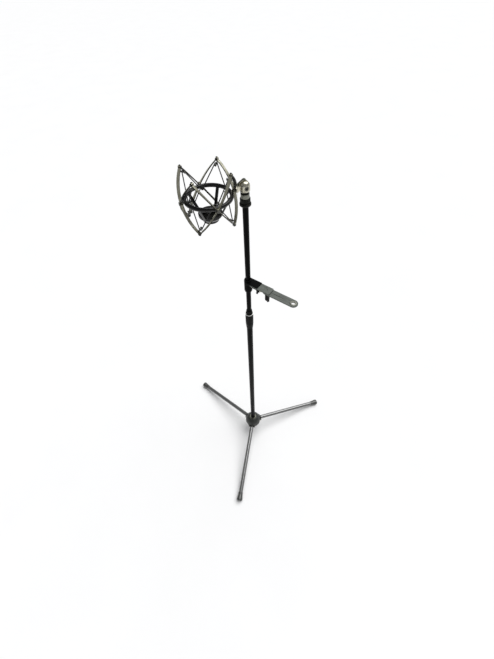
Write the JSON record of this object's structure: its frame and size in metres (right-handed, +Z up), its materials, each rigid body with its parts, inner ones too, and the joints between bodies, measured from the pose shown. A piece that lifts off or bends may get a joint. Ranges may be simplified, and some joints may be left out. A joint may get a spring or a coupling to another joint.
{
  "type": "microphone stand with elastic suspension",
  "caption": "Tripod floor stand with a telescopic post, an elastic suspension cage for a large microphone on a tilting head, and a clamp-on flat accessory arm.",
  "frame": {"origin": "on the floor, on the axis of the post, in the middle of the three feet", "axes": "+Z up along the post; -Y along the front leg; +X to the right of it, so the other legs point 30 and 150 degrees from +X"},
  "size_m": [0.741, 0.6444, 1.5492],
  "materials": {
    "hub_cast": "satin black powder coat on a zinc casting",
    "collar_metal": "satin, lightly tarnished",
    "hub_cap_plastic": "moulded, matt",
    "pin_steel": "black-zinc plated steel",
    "post_black": "semi-gloss black enamel on steel tube",
    "leg_enamel": "satin dark grey enamel on steel tube",
    "knuckle_plastic": "glass-filled nylon",
    "foot_rubber": "moulded rubber, matt",
    "clutch_plastic": "moulded nylon, fine texture",
    "rim_metal": "polished ring",
    "bush_nylon": "natural nylon",
    "stud_steel": "zinc plated steel",
    "adapter_black": "black oxide, knurled",
    "fork_nickel": "satin nickel plate on a casting",
    "lever_paint": "satin olive-grey paint",
    "bracket_metal": "bare cast aluminium",
    "band_nickel": "satin black nickel on spring steel",
    "ring_plastic": "moulded nylon, slight sheen",
    "cord_elastic": "braided sheath over rubber",
    "nut_black": "black anodised brass, knurled",
    "clamp_black": "satin black powder coat",
    "arm_grey": "matt grey powder coat on flat bar",
    "eyelet_metal": "bright pressed eyelet",
    "screw_chrome": "bright zinc plated steel",
    "knob_plastic": "moulded nylon"
  },
  "bodies": {
    "stand": {"hub_body": "hub_cast", "hub_collar": "collar_metal", "hub_bottom_cap": "hub_cap_plastic", "hinge_pins": "stud_steel", "lower_tube": "post_black", "clutch_body": "clutch_plastic", "clutch_collet": "bush_nylon"},
    "leg_1": {"leg_tube_1": "leg_enamel", "leg_knuckle_1": "knuckle_plastic", "leg_foot_1": "foot_rubber"},
    "leg_2": {"leg_tube_2": "leg_enamel", "leg_knuckle_2": "knuckle_plastic", "leg_foot_2": "foot_rubber"},
    "leg_3": {"leg_tube_3": "leg_enamel", "leg_knuckle_3": "knuckle_plastic", "leg_foot_3": "foot_rubber"},
    "clutch_grip": {"clutch_sleeve": "clutch_plastic", "clutch_rim": "rim_metal"},
    "upper_post": {"upper_tube": "post_black", "guide_bush": "bush_nylon", "top_stud": "stud_steel", "lock_ring": "adapter_black"},
    "head": {"adapter_sleeve": "adapter_black", "pan_washer": "bush_nylon", "swivel_fork": "fork_nickel", "tilt_washers": "bush_nylon"},
    "tilt_lock": {"pivot_bolt": "pin_steel", "tilt_lever": "lever_paint"},
    "cage": {"cage_bracket": "bracket_metal", "bracket_screw": "pin_steel", "upper_band": "band_nickel", "lower_band": "band_nickel", "band_rivets": "pin_steel", "cord_hooks": "pin_steel", "upper_elastic": "cord_elastic", "lower_elastic": "cord_elastic"},
    "basket": {"suspension_ring": "ring_plastic", "ring_cord_pegs": "ring_plastic", "mic_cup": "ring_plastic", "cradle_arm_1": "ring_plastic", "cradle_arm_2": "ring_plastic", "cradle_arm_3": "ring_plastic", "cradle_arm_4": "ring_plastic"},
    "ring_nut": {"cup_ring_nut": "nut_black"},
    "clamp_sleeve": {"clamp_liner": "knob_plastic"},
    "clamp": {"clamp_body": "clamp_black", "block_screws": "pin_steel", "arm_root_plate": "arm_grey", "arm_pivot_bolt": "screw_chrome", "arm_washer": "screw_chrome"},
    "wing_screw": {"clamp_screw": "screw_chrome", "clamp_wing": "knob_plastic"},
    "arm": {"arm_bar": "arm_grey", "arm_eyelet": "eyelet_metal"},
    "knob": {"arm_knob": "knob_plastic"}
  },
  "joints": [
    {"name": "leg_1_fold", "type": "hinge", "parent": "stand", "child": "leg_1", "pos_m": [0, -0.034, 0.08242], "axis": [1, 0, 0], "range_deg": [0, 79]},
    {"name": "leg_2_fold", "type": "hinge", "parent": "stand", "child": "leg_2", "pos_m": [0.02944, 0.017, 0.08242], "axis": [-0.5, 0.866, 0], "range_deg": [0, 79]},
    {"name": "leg_3_fold", "type": "hinge", "parent": "stand", "child": "leg_3", "pos_m": [-0.02944, 0.017, 0.08242], "axis": [-0.5, -0.866, 0], "range_deg": [0, 79]},
    {"name": "clutch_twist", "type": "hinge", "parent": "stand", "child": "clutch_grip", "pos_m": [0, 0, 1.01], "axis": [0, 0, 1], "range_deg": [0, 120]},
    {"name": "post_height", "type": "slide", "parent": "stand", "child": "upper_post", "axis": [0, 0, 1], "range_m": [-0.05, 0.24]},
    {"name": "head_pan", "type": "hinge", "parent": "upper_post", "child": "head", "pos_m": [0, 0, 1.457], "axis": [0, 0, 1], "range_deg": [-180, 180]},
    {"name": "cage_tilt", "type": "hinge", "parent": "head", "child": "cage", "pos_m": [0, 0, 1.488], "axis": [0.565, -0.8251, 0], "range_deg": [-60, 25]},
    {"name": "tilt_lever_turn", "type": "hinge", "parent": "head", "child": "tilt_lock", "pos_m": [0, 0, 1.488], "axis": [0.565, -0.8251, 0], "range_deg": [0, 70]},
    {"name": "basket_float", "type": "slide", "parent": "cage", "child": "basket", "axis": [0, 0, 1], "range_m": [-0.004, 0.004], "stiffness_N_per_m": 900, "springref_m": 0.0015, "deforming": ["upper_elastic", "lower_elastic"]},
    {"name": "ring_nut_turn", "type": "hinge", "parent": "basket", "child": "ring_nut", "pos_m": [-0.07591, -0.05198, 1.434], "axis": [0, 0, 1], "continuous": true},
    {"name": "clamp_height", "type": "slide", "parent": "upper_post", "child": "clamp_sleeve", "axis": [0, 0, 1], "range_m": [-0.04, 0.15]},
    {"name": "clamp_swivel", "type": "hinge", "parent": "clamp_sleeve", "child": "clamp", "pos_m": [0, 0, 1.172], "axis": [0, 0, 1], "range_deg": [-180, 180]},
    {"name": "clamp_screw_turn", "type": "hinge", "parent": "clamp", "child": "wing_screw", "pos_m": [0.03988, -0.0186, 1.166], "axis": [0.9063, -0.4226, 0], "continuous": true},
    {"name": "arm_swing", "type": "hinge", "parent": "clamp", "child": "arm", "pos_m": [0.06525, -0.03043, 1.18], "axis": [0, 0, 1], "range_deg": [-90, 90]},
    {"name": "arm_knob_turn", "type": "hinge", "parent": "clamp", "child": "knob", "pos_m": [0.06525, -0.03043, 1.167], "axis": [0, 0, 1], "continuous": true}
  ]
}
